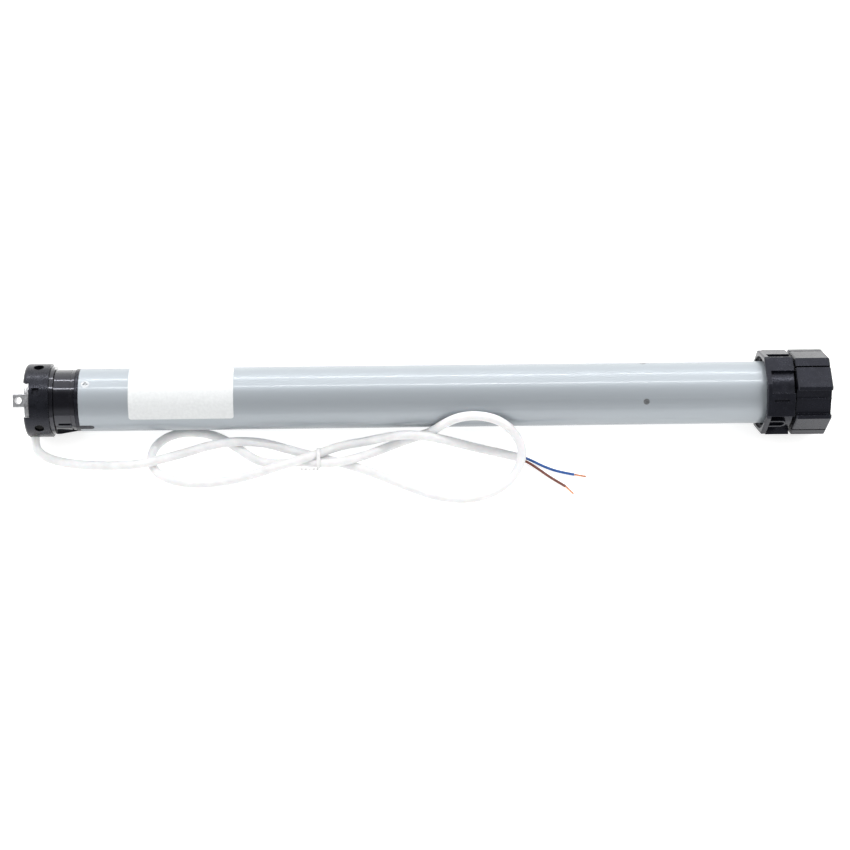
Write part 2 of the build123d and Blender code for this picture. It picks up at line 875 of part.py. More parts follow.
def make_brake_rotor():
    start = flange_seat + brake_start
    rotor = toothed_bar(brake_pole_count, brake_tip_diameter / 2, brake_root_diameter / 2,
                        brake_tip_width, brake_root_width, 0, start, start + brake_length)
    return rotor - rod(rotor_radius + fit, start - overrun, start + brake_length + overrun)


def make_gearbox_housing():
    housing = rod(inner_radius, flange_end, housing_end)
    housing -= rod(sun_tip_radius + overrun, flange_end - overrun, gear_start)
    return housing - toothed_bar(ring_teeth, ring_tip_radius, ring_root_radius, ring_tip_width,
                                 ring_root_width, 180 / ring_teeth, flange_end + gearbox_wall,
                                 housing_end + overrun)


def make_motor_pinion():
    pinion = sun_bar(gear_start, gear_start + gear_width)
    return pinion - rod(rotor_radius + fit, gear_start - overrun, gear_start + gear_width + overrun)


def stage_start(stage):
    return gear_start + stage * stage_length


# Planet gear, a tooth pointing away from the axis, in the middle of a gap of the ring teeth
def make_planet(stage, place):
    start = stage_start(stage)
    gear = toothed_bar(planet_teeth, planet_tip_radius, planet_root_radius, planet_tip_width,
                       planet_root_width, 0, start, start + gear_width)
    gear -= rod(planet_pin_diameter / 2 + slide_fit, start - overrun, start + gear_width + overrun)
    return at_clock(Pos(Z=orbit_radius) * gear, full_turn * place / planet_count)


# Disc that the planets of a stage turn with, cut by windows, and the pins that carry them
def carrier_disc(stage, thickness):
    start = stage_start(stage) + gear_width + 2 * stage_gap
    end = start + thickness
    disc = rod(carrier_disc_diameter / 2, start, end)
    window = Pos(Z=carrier_window_centre) * rod(carrier_window_diameter / 2, start - overrun,
                                                end + overrun)
    for copy in around(window, planet_count, 180 / planet_count):
        disc -= copy
    pin = Pos(Z=orbit_radius) * rod(planet_pin_diameter / 2, stage_start(stage), start + stage_gap)
    for copy in around(pin, planet_count):
        disc += copy
    return disc, end


def make_carrier(stage):
    disc, end = carrier_disc(stage, carrier_thickness)
    return disc + sun_bar(end, stage_start(stage + 1) + gear_width)


def make_output_shaft():
    disc, end = carrier_disc(stage_count - 1, last_disc_thickness)
    shaft = disc + rod(output_radius, end, hex_start) + prism(hex_across_flats, 6, hex_start, hex_end)
    return shaft - rod(wheel_screw_diameter / 2, hex_end - wheel_screw_length, hex_end + overrun)


def make_gearbox_cover():
    cover = rod(cover_spigot_diameter / 2, housing_end - cover_spigot_length, housing_end)
    cover += rod(inner_radius, housing_end, cover_end)
    cover += rod(cover_lip_diameter / 2, cover_end, lip_end)
    cover -= rod(output_radius + overrun, housing_end - cover_spigot_length - overrun, lip_end)
    return cover - rod(bush_diameter / 2 + fit, housing_end + cover_web, lip_end + overrun)


def make_output_bush():
    return sleeve(bush_diameter / 2, output_radius + slide_fit, housing_end + cover_web,
                  lip_end - hex_start_gap)


def make_drive_wheel():
    wheel = prism(wheel_across_flats, wheel_sides, wheel_start, wheel_end)
    ends = wheel.faces().sort_by(Axis.X)
    wheel = chamfer(ends[0].edges() + ends[-1].edges(), wheel_chamfer)
    pocket = sleeve(wheel_pocket_diameter / 2, wheel_hub_diameter / 2, wheel_start + wheel_web,
                    wheel_end + overrun)
    rib = block(wheel_start, wheel_end, wheel_rib, 0, wheel_pocket_diameter)
    for copy in around(rib, wheel_sides, 180 / wheel_sides):
        pocket -= copy
    wheel -= pocket
    slot = block(wheel_start - overrun, wheel_end + overrun, wheel_slot_width,
                 wheel_apothem - wheel_slot_depth, wheel_across_flats)
    keyway = block(wheel_start - overrun, wheel_end + overrun, wheel_keyway_width,
                   wheel_apothem - wheel_keyway_depth, wheel_across_flats)
    keyway -= Pos(Y=wheel_keyway_rib_offset) * block(
        wheel_start, wheel_end, wheel_keyway_rib, wheel_apothem - wheel_keyway_depth - overrun,
        wheel_apothem - wheel_keyway_depth + wheel_keyway_rib)
    for i in range(wheel_sides):
        cut = keyway if i in wheel_keyway_places else Pos(Y=wheel_slot_offsets[i]) * slot
        wheel -= at_clock(cut, full_turn * i / wheel_sides)
    wheel = at_clock(wheel, wheel_turn)
    wheel -= prism(hex_across_flats + 2 * slide_fit, 6, wheel_start - overrun, wheel_end + overrun)
    wheel -= rod(wheel_counterbore_diameter / 2, hex_end + slide_fit, wheel_end + overrun)
    wheel -= rod(output_radius + overrun, wheel_start - overrun, wheel_start + slide_fit)
    return wheel


def make_wheel_washer():
    start = hex_end + slide_fit
    return sleeve(wheel_counterbore_diameter / 2 - slide_fit, wheel_screw_diameter / 2 + slide_fit,
                  start, start + wheel_washer_thickness)


def make_wheel_screw():
    face = hex_end + slide_fit + wheel_washer_thickness
    screw = rod(wheel_screw_diameter / 2 - fit, hex_end - wheel_screw_length + overrun, face)
    screw += rod(wheel_screw_head_diameter / 2, face, face + wheel_screw_head_height)
    top = face + wheel_screw_head_height
    arm, low = wheel_screw_head_diameter * cross_arm_share, top - cross_depth
    screw -= block(low, top + overrun, cross_slot, -arm / 2, arm / 2)
    return screw - block(low, top + overrun, arm, -cross_slot / 2, cross_slot / 2)


def make_crown_adapter():
    pads_start = adapter_start + adapter_flange
    corner_radius = wheel_apothem / cos(pi / wheel_sides)
    octagon = prism(wheel_across_flats, wheel_sides, adapter_start, adapter_end)
    rim = prism(wheel_across_flats, wheel_sides, adapter_start, pads_start)
    body = chamfer(rim.faces().sort_by(Axis.X)[0].edges(), wheel_chamfer)
    body &= rod(corner_radius - adapter_corner_cut, adapter_start, pads_start)
    body += rod(drum_outer, pads_start, adapter_end)
    for start, end in adapter_pad_clocks:
        for turn in (0, 180):
            pad = sector(wheel_across_flats, drum_outer - adapter_drum_wall / 2, pads_start, adapter_end,
                         (start + turn, end + turn))
            body += pad & octagon
    slot = block(pads_start + adapter_flange / 2, pads_start + adapter_flange / 2 + adapter_slot_length,
                 adapter_slot_width, wheel_apothem - adapter_slot_depth, wheel_across_flats)
    ridge_end = pads_start + adapter_ridge_length - adapter_ridge_width / 2
    pocket_width = adapter_ridge_width - 2 * adapter_ridge_wall
    pocket_floor = wheel_apothem - adapter_ridge_depth
    ridge = block(pads_start, ridge_end, adapter_ridge_width, drum_inner, wheel_across_flats)
    ridge += post(adapter_ridge_width / 2, ridge_end, drum_inner, wheel_across_flats)
    ridge -= block(pads_start, ridge_end, pocket_width, pocket_floor, wheel_across_flats)
    ridge -= post(pocket_width / 2, ridge_end, pocket_floor, wheel_across_flats)
    for turn in (0, 180):
        body -= at_clock(slot, adapter_slot_clock + turn)
        body += at_clock(ridge, adapter_ridge_clock + turn) & octagon
    bore = rod(drum_inner, adapter_start - overrun, adapter_end + overrun)
    half = adapter_key_sweep / 2
    for i in range(adapter_key_count):
        clock = full_turn * i / adapter_key_count
        bore -= sector(drum_outer, adapter_inner, adapter_start, adapter_end, (clock - half, clock + half))
    mouth = rod(wheel_apothem - adapter_mouth_wall, adapter_start - overrun,
                adapter_start + adapter_mouth_depth)
    return body - bore - mouth


def make_tie(points):
    across = [Vector(0, p[1], p[2]) for p in points]
    triangle = make_face(Polyline(*[(v.Y, v.Z) for v in across], close=True))
    inner = offset(triangle, cable_radius + tie_play, kind=Kind.ARC)
    outer = offset(triangle, cable_radius + tie_play + tie_thickness, kind=Kind.ARC)
    band = extrude(Plane.YZ.offset(tie_station) * (outer - inner), tie_width / 2, both=True)
    front = min(v.Y for v in across) - cable_radius - tie_play - tie_thickness / 2
    height = min(v.Z for v in across) + cable_radius
    tail = Pos(tie_station - tie_tail_length / 2, front, height) * Rot(Y=-tie_tail_slope) * Box(
        tie_tail_length, tie_thickness, tie_tail_width)
    return band + tail


# Insulated wire and its bare end, which starts where the insulation is cut
def make_wire(points, tip):
    insulation, path = cord(points, core_radius)
    end, direction = Vector(points[-1]), Vector(tip) - Vector(points[-1])
    bare = extrude(Plane(origin=end, z_dir=direction) * Circle(conductor_diameter / 2), direction.length)
    return Compound(children=[insulation, bare])


def build():
    parts = {
        "square_pin": make_square_pin(), "mounting_plate": make_mounting_plate(),
        "plate_screws": make_plate_screws(), "head_cap": make_head_cap(),
        "set_button": make_set_button(), "head_collar": make_head_collar(),
        "crown_ring": make_crown_ring(), "head_body": make_head_body(),
        "head_screws": Compound(children=head_screw_places()),
        "cable_gland": make_cable_gland(), "cable_inside": make_cable_inside(),
        "motor_tube": make_motor_tube(), "tube_rivets": Compound(children=rivet_places()),
        "rating_label": make_rating_label(), "board_carrier": make_board_carrier(),
        "control_board": make_control_board(), "terminal_block": make_terminal_block(),
        "inner_leads": make_inner_leads(), "board_capacitor": make_capacitor(),
        "board_relay": on_board(board_start + relay_from_end, relay_length, relay_width, relay_height),
        "board_semiconductors": make_semiconductors(), "radio_module": make_radio_module(),
        "motor_can": make_motor_can(), "motor_magnets": make_magnets(),
        "motor_end_bell": make_end_bell(), "motor_brushes": make_brushes(),
        "motor_bearings": Compound(children=[make_bearing(bell_start),
                                             make_bearing(can_end - can_front - fit)]),
        "rotor_shaft": make_rotor_shaft(), "rotor_core": make_rotor_core(),
        "rotor_windings": make_rotor_windings(), "commutator": make_commutator(),
        "encoder_magnet": make_encoder_magnet(), "sensor_board": make_sensor_board(),
        "rear_mount": make_rear_mount(), "motor_flange": make_motor_flange(),
        "brake_ring": make_brake_ring(), "brake_rotor": make_brake_rotor(),
        "gearbox_housing": make_gearbox_housing(), "motor_pinion": make_motor_pinion(),
        "output_shaft": make_output_shaft(), "output_bush": make_output_bush(),
        "gearbox_cover": make_gearbox_cover(), "drive_wheel": make_drive_wheel(),
        "wheel_fixing": Compound(children=[make_wheel_washer(), make_wheel_screw()]),
        "crown_adapter": make_crown_adapter()}
    for stage in range(stage_count - 1):
        parts[f"carrier_{stage + 1}"] = make_carrier(stage)
    for stage in range(stage_count):
        for place in range(planet_count):
            parts[f"planet_{stage + 1}{'abc'[place]}"] = make_planet(stage, place)
    parts["cable"], path = cord(cable_points, cable_radius)
    print("cable length", round(path.length, 1), "volume share",
          round(parts["cable"].volume / (pi * cable_radius ** 2 * path.length), 4))
    parts["twist_tie"] = make_tie([p for p in cable_points if p[0] == tie_station])
    parts["wire_blue"] = make_wire(blue_points, blue_tip)
    parts["wire_brown"] = make_wire(brown_points, brown_tip)
    return parts


os.makedirs("parts", exist_ok=True)
for name, shape in build().items():
    export_step(shape, f"parts/{name}.step")
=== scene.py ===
# Tubular roller blind motor: the looks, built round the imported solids
import math

import bmesh
import bpy
from mathutils import Matrix, Vector


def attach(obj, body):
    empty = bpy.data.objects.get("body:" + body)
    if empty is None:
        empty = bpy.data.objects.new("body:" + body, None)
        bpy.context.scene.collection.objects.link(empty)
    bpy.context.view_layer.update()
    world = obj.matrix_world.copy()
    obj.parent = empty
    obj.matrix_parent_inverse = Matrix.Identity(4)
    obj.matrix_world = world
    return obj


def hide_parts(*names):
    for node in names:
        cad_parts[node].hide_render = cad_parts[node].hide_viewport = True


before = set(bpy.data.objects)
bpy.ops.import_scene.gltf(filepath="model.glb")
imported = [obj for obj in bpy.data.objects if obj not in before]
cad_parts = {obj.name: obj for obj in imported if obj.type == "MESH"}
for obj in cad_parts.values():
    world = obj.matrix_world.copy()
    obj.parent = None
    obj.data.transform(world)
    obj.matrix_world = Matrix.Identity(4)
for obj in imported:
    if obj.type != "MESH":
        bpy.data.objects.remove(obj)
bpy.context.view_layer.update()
mm = 0.001


def millimetres(points):
    return [Vector(point) * mm for point in points]


def linkObject(name, data):
    piece = bpy.data.objects.new(name, data)
    bpy.context.scene.collection.objects.link(piece)
    return piece


# camera
camera = {
    "elevation": 60.0,          # degrees above the surface
    "turn": -5.128,             # degrees about +Z
    "roll": 3.7355,
    "distance": 1372.95,        # mm from the target
    "target": (283.417, 0, -41.945),
    "lens": 78.64,
    "sensor": 36,
    "clip": (0.01, 20),         # metres
}


def makeCamera(c):
    elevation, turn, roll = (math.radians(c[key]) for key in ("elevation", "turn", "roll"))
    back = Vector((math.sin(turn) * math.cos(elevation), -math.cos(turn) * math.cos(elevation),
                   math.sin(elevation)))
    right = Vector((math.cos(turn), math.sin(turn), 0))
    up = back.cross(right)
    across = math.cos(roll) * right + math.sin(roll) * up
    above = -math.sin(roll) * right + math.cos(roll) * up
    place = Vector(c["target"]) * mm + back * c["distance"] * mm
    data = bpy.data.cameras.new("Camera")
    data.lens = c["lens"]
    data.sensor_width = c["sensor"]
    data.clip_start, data.clip_end = c["clip"]
    eye = linkObject("Camera", data)
    eye.matrix_world = Matrix.Translation(place) @ Matrix((across, above, back)).transposed().to_4x4()
    bpy.context.scene.camera = eye


makeCamera(camera)
print("camera placed")

# cable and wires
cable = {
    "diameter": 6.5,
    "length": 1.0,              # metres, all of it shows
    "route": [
        (3.4, -22.602, -13.05), (3.4, -28.579, -16.5), (7.5, -33.3, -20.2), (18, -37.3, -22.6),
        (37, -40.6, -22.8), (58, -41.8, -22), (80, -44.5, -15.2), (94, -40.5, -15.3),
        (110, -33, -20.2), (127, -29.5, -15.7), (147, -26.5, -15.4), (166, -25, -21.1),
        (184, -30, -23.1), (205, -37, -22.5), (225, -42, -23.4), (246, -50, -23.8),
        (269, -61, -23.9), (291, -70, -24), (314, -72, -24.1), (334, -64.5, -24.3),
        (347, -52, -22.3), (352, -39.5, -16.1), (348, -30, -7.7), (336, -26.5, 7.7),
        (322, -24.4, 12.9), (307, -24.4, 12.5), (295, -26.4, 6.5), (286, -25.4, -8.2),
        (275, -24, -17), (262, -26.5, -21.6), (247, -32.5, -22.7), (230, -42, -16.3),
        (217, -45, -15.9), (205, -43.5, -19), (190, -40, -23), (174, -41.5, -23.4),
        (160, -38.5, -23.3), (147, -28, -23.2), (132, -17.5, -23.2), (114, -14, -23.1),
        (98.5, -16.5, -23), (88, -25, -22.9), (84.5, -36, -22.9), (88, -46.5, -22.9),
        (100, -54, -23), (118, -57, -23.1), (140, -55, -23.2), (160, -49.5, -22.8),
        (178, -46, -17.2), (191, -43, -15.2), (205, -37.5, -15.9), (221, -29.5, -18.8),
        (239, -27, -17.9), (254, -27.5, -10.7), (267, -29, -4.6), (282, -31, -3.6),
        (297, -31.5, -9.4), (311, -30, -19.4), (325, -31.5, -24), (339, -35, -24.3),
        (351, -38.5, -24.3)],
}
wires = {
    "diameter": 1.9,
    "blue": [(351.8, -37.5, -24.3), (357.5, -39.6, -25.2), (367, -44.5, -26.7),
             (378, -49.2, -26.8), (389, -51.4, -26.9)],
    "brown": [(351.3, -39.7, -24.3), (356, -41.6, -25.4), (363, -46.3, -26.7),
              (372, -54, -26.8), (382, -60.9, -26.9)],
    "blueTip": (397.4, -53.1, -26.9),
    "brownTip": (387.2, -67, -26.9),
}
roundness = {"along": 10, "around": 7}      # resolutions of the curves


def makeSpline(name, points, diameter):
    curve = bpy.data.curves.new(name, "CURVE")
    curve.dimensions = "3D"
    curve.resolution_u = roundness["along"]
    curve.bevel_depth = diameter / 2 * mm
    curve.bevel_resolution = roundness["around"]
    curve.use_fill_caps = True
    spline = curve.splines.new("NURBS")
    spline.points.add(len(points) - 1)
    for target, point in zip(spline.points, millimetres(points)):
        target.co = (*point, 1)
    spline.order_u = 3
    spline.use_endpoint_u = True
    return linkObject(name, curve)


cordPiece = makeSpline("power_cable", cable["route"], cable["diameter"])
wirePieces = {colour: makeSpline(f"{colour}_wire", wires[colour], wires["diameter"])
              for colour in ("blue", "brown")}
print("cable and wires laid")


# finishes: colours are linear, edges in millimetres, grain and bumpGrain are noise scales per metre
texture = {
    "range": (0.3, 0.7),        # the part of the noise that is spread over a finish's two values
    "patchDetail": 4,
    "cloudDetail": 3,
    "cloudScale": 3,            # the roughness varies this much finer than the colour
    "bumpDetail": 2,
    "bumpHeight": 0.1,          # mm
    "underDepth": 2.0,          # mm that light reaches into the cable's jacket
    "edgeSamples": 4,
}
finishes = {                    # the tube's coat is even, so its two values are alike
    "tubeCoat": {"dark": (0.348, 0.38, 0.41), "light": (0.348, 0.38, 0.41), "metallic": 0.36,
                 "rough": (0.4, 0.4), "grain": 25, "stretch": (0.25, 1, 1), "bump": 0.0,
                 "bumpGrain": 500, "coat": 0.5, "coatRough": 0.04, "tint": (0.3, 0.3, 0.3)},
    "moulded": {"dark": (0.002, 0.0022, 0.0034), "light": (0.006, 0.0065, 0.009), "rough": (0.22, 0.34),
                "grain": 120, "bump": 0.12, "bumpGrain": 1400, "edge": 0.35, "shine": 0.38,
                "tint": (0.82, 0.84, 1)},
    "buttonBlack": {"dark": (0.001, 0.001, 0.001), "light": (0.002, 0.002, 0.002), "rough": (0.5, 0.6),
                    "grain": 200, "bump": 0.05, "bumpGrain": 1400, "shine": 0.1},
    "polishedBlack": {"dark": (0.0015, 0.0015, 0.0028), "light": (0.003, 0.003, 0.0052), "shine": 0.45,
                      "rough": (0.1, 0.17), "grain": 90, "bump": 0.05, "bumpGrain": 700, "edge": 0.25,
                      "coat": 0.5, "coatRough": 0.05, "tint": (0.82, 0.84, 1)},
    "wheelBlack": {"dark": (0.0025, 0.0028, 0.0045), "light": (0.006, 0.0065, 0.01),
                   "rough": (0.2, 0.3), "grain": 80, "bump": 0.08, "bumpGrain": 1100, "edge": 0.4,
                   "shine": 0.38, "tint": (0.82, 0.84, 1)},
    "zincSteel": {"dark": (0.34, 0.345, 0.36), "light": (0.5, 0.505, 0.52), "metallic": 1.0,
                  "rough": (0.24, 0.42), "grain": 420, "stretch": (1, 1, 0.3), "bump": 0.1,
                  "bumpGrain": 1600, "edge": 0.25},
    "screwSteel": {"dark": (0.5, 0.51, 0.53), "light": (0.68, 0.69, 0.7), "metallic": 1.0,
                   "rough": (0.2, 0.32), "grain": 900, "bump": 0.06, "bumpGrain": 2500, "edge": 0.12},
    "dullZinc": {"dark": (0.42, 0.435, 0.45), "light": (0.52, 0.535, 0.55), "metallic": 0.8,
                 "rough": (0.34, 0.44), "grain": 900, "bump": 0.05, "bumpGrain": 2500, "edge": 0.1},
    "rivetSteel": {"dark": (0.2, 0.21, 0.22), "light": (0.3, 0.31, 0.32), "metallic": 0.9,
                   "rough": (0.3, 0.4), "grain": 900, "bump": 0.05, "bumpGrain": 2500, "edge": 0.1},
    "labelFilm": {"dark": (0.64, 0.655, 0.66), "light": (0.7, 0.715, 0.72), "rough": (0.34, 0.44),
                  "grain": 500, "bump": 0.03, "bumpGrain": 1500},
    "cableJacket": {"dark": (0.74, 0.745, 0.75), "light": (0.84, 0.84, 0.845), "rough": (0.36, 0.5),
                    "grain": 130, "bump": 0.08, "bumpGrain": 800, "under": 0.12},
    "tiePlastic": {"dark": (0.72, 0.72, 0.72), "light": (0.84, 0.84, 0.84), "rough": (0.3, 0.42),
                   "grain": 400, "bump": 0.08, "bumpGrain": 1500},
    "blueInsulation": {"dark": (0.015, 0.07, 0.27), "light": (0.03, 0.12, 0.38), "rough": (0.3, 0.42),
                       "grain": 300, "bump": 0.05, "bumpGrain": 1800},
    "brownInsulation": {"dark": (0.12, 0.03, 0.018), "light": (0.2, 0.055, 0.03), "rough": (0.3, 0.42),
                        "grain": 300, "bump": 0.05, "bumpGrain": 1800},
    "copper": {"dark": (0.6, 0.22, 0.1), "light": (0.85, 0.42, 0.24), "metallic": 1.0,
               "rough": (0.2, 0.34), "grain": 1200, "bump": 0.08, "bumpGrain": 3000},
    "blackRubber": {"dark": (0.008, 0.008, 0.008), "light": (0.016, 0.016, 0.016), "rough": (0.55, 0.7),
                    "grain": 400, "bump": 0.15, "bumpGrain": 1800},
    "boardGreen": {"dark": (0.004, 0.06, 0.022), "light": (0.01, 0.12, 0.05), "rough": (0.3, 0.45),
                   "grain": 260, "bump": 0.1, "bumpGrain": 900},
    "greyPlastic": {"dark": (0.06, 0.062, 0.066), "light": (0.11, 0.113, 0.118), "rough": (0.4, 0.55),
                    "grain": 200, "bump": 0.1, "bumpGrain": 1200},
    "redInsulation": {"dark": (0.22, 0.01, 0.01), "light": (0.4, 0.02, 0.018), "rough": (0.35, 0.5),
                      "grain": 300, "bump": 0.05, "bumpGrain": 1500},
    "ferrite": {"dark": (0.03, 0.03, 0.032), "light": (0.07, 0.07, 0.072), "metallic": 0.6,
                "rough": (0.45, 0.6), "grain": 900, "bump": 0.2, "bumpGrain": 2200},
    "bronze": {"dark": (0.36, 0.2, 0.07), "light": (0.52, 0.32, 0.13), "metallic": 1.0,
               "rough": (0.3, 0.45), "grain": 800, "bump": 0.12, "bumpGrain": 2400},
    "castZinc": {"dark": (0.3, 0.31, 0.33), "light": (0.45, 0.46, 0.48), "metallic": 0.9,
                 "rough": (0.38, 0.55), "grain": 500, "bump": 0.2, "bumpGrain": 1400, "edge": 0.3},
    "gearResin": {"dark": (0.56, 0.53, 0.45), "light": (0.7, 0.67, 0.58), "rough": (0.32, 0.42),
                  "grain": 300, "bump": 0.05, "bumpGrain": 1600, "edge": 0.15},
}


def addNoise(tree, vector, scale, detail):
    noise = tree.nodes.new("ShaderNodeTexNoise")
    noise.inputs["Scale"].default_value = scale
    noise.inputs["Detail"].default_value = detail
    tree.links.new(vector, noise.inputs["Vector"])
    return noise.outputs["Fac"]


def addRange(tree, value, low, high):
    spread = tree.nodes.new("ShaderNodeMapRange")
    least, most = texture["range"]
    for socket, level in (("From Min", least), ("From Max", most), ("To Min", low), ("To Max", high)):
        spread.inputs[socket].default_value = level
    tree.links.new(value, spread.inputs["Value"])
    return spread.outputs["Result"]


def addMix(tree, factor, first, second):
    mix = tree.nodes.new("ShaderNodeMix")
    mix.data_type = "RGBA"
    tree.links.new(factor, mix.inputs["Factor"])
    for socket, colour in ((mix.inputs["A"], first), (mix.inputs["B"], second)):
        if isinstance(colour, tuple):
            socket.default_value = (*colour, 1)
        else:
            tree.links.new(colour, socket)
    return mix.outputs["Result"]


def makeFinish(name, f):
    material = bpy.data.materials.new(name)
    material.use_nodes = True
    tree = material.node_tree
    shader = tree.nodes["Principled BSDF"]
    shader.inputs["Metallic"].default_value = f.get("metallic", 0.0)
    shader.inputs["Coat Weight"].default_value = f.get("coat", 0.0)
    shader.inputs["Coat Roughness"].default_value = f.get("coatRough", 0.05)
    shader.inputs["Specular IOR Level"].default_value = f.get("shine", 0.5)
    shader.inputs["Specular Tint"].default_value = (*f.get("tint", (1, 1, 1)), 1)
    if "under" in f:
        shader.inputs["Subsurface Weight"].default_value = f["under"]
        shader.inputs["Subsurface Scale"].default_value = texture["underDepth"] * mm
    place = tree.nodes.new("ShaderNodeTexCoord").outputs["Object"]
    mapping = tree.nodes.new("ShaderNodeMapping")
    mapping.inputs["Scale"].default_value = f.get("stretch", (1, 1, 1))
    tree.links.new(place, mapping.inputs["Vector"])
    patch = addNoise(tree, mapping.outputs["Vector"], f["grain"], texture["patchDetail"])
    tree.links.new(addMix(tree, addRange(tree, patch, 0, 1), f["dark"], f["light"]),
                   shader.inputs["Base Color"])
    cloud = addNoise(tree, mapping.outputs["Vector"], f["grain"] * texture["cloudScale"],
                     texture["cloudDetail"])
    tree.links.new(addRange(tree, cloud, *f["rough"]), shader.inputs["Roughness"])
    bump = tree.nodes.new("ShaderNodeBump")
    bump.inputs["Strength"].default_value = f["bump"]
    bump.inputs["Distance"].default_value = texture["bumpHeight"] * mm
    tree.links.new(addNoise(tree, place, f["bumpGrain"], texture["bumpDetail"]), bump.inputs["Height"])
    if "edge" in f:
        bevel = tree.nodes.new("ShaderNodeBevel")
        bevel.samples = texture["edgeSamples"]
        bevel.inputs["Radius"].default_value = f["edge"] * mm
        tree.links.new(bevel.outputs["Normal"], bump.inputs["Normal"])
    tree.links.new(bump.outputs["Normal"], shader.inputs["Normal"])
    return material


materials = {name: makeFinish(name, f) for name, f in finishes.items()}

nodeFinishes = {
    "tubeCoat": ["motor_tube"],
    "moulded": ["head_cap", "head_body"],
    "buttonBlack": ["set_button"],
    "polishedBlack": ["head_collar", "crown_ring"],
    "wheelBlack": ["drive_wheel", "crown_adapter"],
    "zincSteel": ["square_pin", "mounting_plate", "motor_can", "rotor_core"],
    "screwSteel": ["plate_screws", "wheel_fixing", "rotor_shaft", "radio_module"],
    "dullZinc": ["head_screws"],
    "rivetSteel": ["tube_rivets"],
    "labelFilm": ["rating_label"],
    "cableJacket": ["cable_inside"],
    "blackRubber": ["cable_gland", "rear_mount", "motor_brushes"],
    "boardGreen": ["control_board", "sensor_board"],
    "greyPlastic": ["board_carrier", "terminal_block", "board_capacitor", "board_relay",
                    "board_semiconductors", "motor_end_bell", "gearbox_housing", "gearbox_cover"],
    "redInsulation": ["inner_leads"],
    "ferrite": ["motor_magnets", "encoder_magnet", "brake_ring", "brake_rotor"],
    "bronze": ["motor_bearings", "output_bush"],
    "castZinc": ["motor_flange", "motor_pinion", "carrier_1", "carrier_2", "output_shaft"],
    "copper": ["rotor_windings", "commutator"],
    "gearResin": [f"planet_{stage}{place}" for stage in (1, 2, 3) for place in "abc"],
}
for finish, names in nodeFinishes.items():
    for name in names:
        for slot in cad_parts[name].material_slots:
            slot.material = materials[finish]
print("finishes set")

# stranded tips, by geometry nodes
strands = {"count": 7, "bundleRadius": 0.42, "strandRadius": 0.19, "turnsPerLength": 0.9,
           "stepsPerTurn": 24, "sides": 8}


def socketOf(tree, name):
    return next(item.identifier for item in tree.interface.items_tree
                if item.item_type == "SOCKET" and item.name == name and item.in_out == "INPUT")


def makeStrandTree():
    tree = bpy.data.node_groups.new("strandBundle", "GeometryNodeTree")
    for name, kind in (("Strands", "NodeSocketInt"), ("Bundle Radius", "NodeSocketFloat"),
                       ("Strand Radius", "NodeSocketFloat"), ("Length", "NodeSocketFloat"),
                       ("Turns", "NodeSocketFloat"), ("Material", "NodeSocketMaterial")):
        tree.interface.new_socket(name=name, in_out="INPUT", socket_type=kind)
    tree.interface.new_socket(name="Geometry", in_out="OUTPUT", socket_type="NodeSocketGeometry")
    given = tree.nodes.new("NodeGroupInput").outputs
    result = tree.nodes.new("NodeGroupOutput")
    spiral = tree.nodes.new("GeometryNodeCurveSpiral")
    spiral.inputs["Resolution"].default_value = strands["stepsPerTurn"]
    for socket in ("Start Radius", "End Radius"):
        tree.links.new(given["Bundle Radius"], spiral.inputs[socket])
    tree.links.new(given["Length"], spiral.inputs["Height"])
    tree.links.new(given["Turns"], spiral.inputs["Rotations"])
    points = tree.nodes.new("GeometryNodePoints")
    tree.links.new(given["Strands"], points.inputs["Count"])
    share = tree.nodes.new("ShaderNodeMath")
    share.operation = "DIVIDE"
    share.inputs[0].default_value = math.tau
    tree.links.new(given["Strands"], share.inputs[1])
    angle = tree.nodes.new("ShaderNodeMath")
    angle.operation = "MULTIPLY"
    tree.links.new(tree.nodes.new("GeometryNodeInputIndex").outputs[0], angle.inputs[0])
    tree.links.new(share.outputs[0], angle.inputs[1])
    turn = tree.nodes.new("ShaderNodeCombineXYZ")
    tree.links.new(angle.outputs[0], turn.inputs["Z"])
    copies = tree.nodes.new("GeometryNodeInstanceOnPoints")
    tree.links.new(points.outputs[0], copies.inputs["Points"])
    tree.links.new(spiral.outputs[0], copies.inputs["Instance"])
    tree.links.new(turn.outputs[0], copies.inputs["Rotation"])
    realize = tree.nodes.new("GeometryNodeRealizeInstances")
    tree.links.new(copies.outputs[0], realize.inputs[0])
    profile = tree.nodes.new("GeometryNodeCurvePrimitiveCircle")
    profile.inputs["Resolution"].default_value = strands["sides"]
    tree.links.new(given["Strand Radius"], profile.inputs["Radius"])
    skin = tree.nodes.new("GeometryNodeCurveToMesh")
    skin.inputs["Fill Caps"].default_value = True
    tree.links.new(realize.outputs[0], skin.inputs["Curve"])
    tree.links.new(profile.outputs[0], skin.inputs["Profile Curve"])
    paint = tree.nodes.new("GeometryNodeSetMaterial")
    tree.links.new(skin.outputs[0], paint.inputs["Geometry"])
    tree.links.new(given["Material"], paint.inputs["Material"])
    tree.links.new(paint.outputs[0], result.inputs[0])
    return tree


def plainMesh(name, carrier):
    evaluated = carrier.evaluated_get(bpy.context.evaluated_depsgraph_get())
    mesh = bpy.data.meshes.new_from_object(evaluated)
    bpy.data.objects.remove(carrier)
    return linkObject(name, mesh)


def runTree(name, tree, values):
    carrier = linkObject(name + "_carrier", bpy.data.meshes.new(name))
    modifier = carrier.modifiers.new(tree.name, "NODES")
    modifier.node_group = tree
    for socket, value in values.items():
        modifier[socketOf(tree, socket)] = value
    return plainMesh(name, carrier)


strandTree = makeStrandTree()


